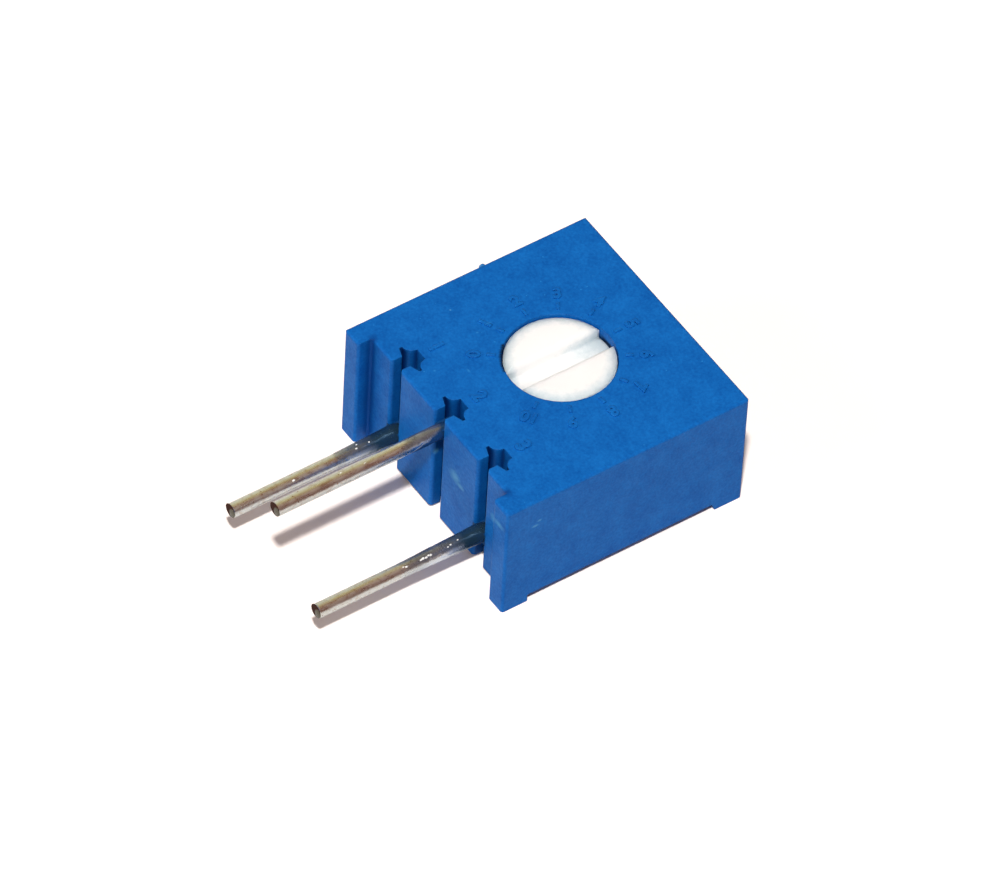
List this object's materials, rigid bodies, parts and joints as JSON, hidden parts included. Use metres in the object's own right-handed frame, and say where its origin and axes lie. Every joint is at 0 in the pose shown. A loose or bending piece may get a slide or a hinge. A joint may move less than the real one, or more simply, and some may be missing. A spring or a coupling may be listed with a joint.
{
  "type": "trimmer potentiometer",
  "caption": "Square single-turn trimmer potentiometer with a slotted rotor on top and straight in-line pins at the front for mounting on edge.",
  "frame": {"origin": "under the middle of the whole part's bounding box, on the plane that the feet rest on", "axes": "+Z along the rotor's axis and out of the adjustment face, -Y out along the pins, X across the row of pins"},
  "size_m": [0.0096, 0.0154, 0.0048],
  "materials": {
    "housing_plastic": "satin moulded blue",
    "rotor_plastic": "satin white",
    "rubber": "matt",
    "spring_metal": "bright",
    "ceramic": "unglazed alumina",
    "resistive_film": "smooth fired film",
    "silver_film": "matt fired silver",
    "tinned_wire": "bright tin",
    "solder": "smooth solder",
    "potting_resin": "glossy cast resin"
  },
  "bodies": {
    "housing": {"housing": "housing_plastic", "substrate": "ceramic", "resistive_track": "resistive_film", "collector_track": "silver_film", "left_termination": "silver_film", "right_termination": "silver_film", "left_pin": "tinned_wire", "middle_pin": "tinned_wire", "right_pin": "tinned_wire", "left_solder": "solder", "middle_solder": "solder", "right_solder": "solder", "back_seal": "potting_resin"},
    "rotor": {"rotor": "rotor_plastic", "seal_ring": "rubber", "contact_spring": "spring_metal"}
  },
  "joints": [
    {"name": "rotor_turn", "type": "hinge", "parent": "housing", "child": "rotor", "pos_m": [0, 0.00344, 0.004], "axis": [0, 0, 1], "range_deg": [-155, 155]}
  ]
}
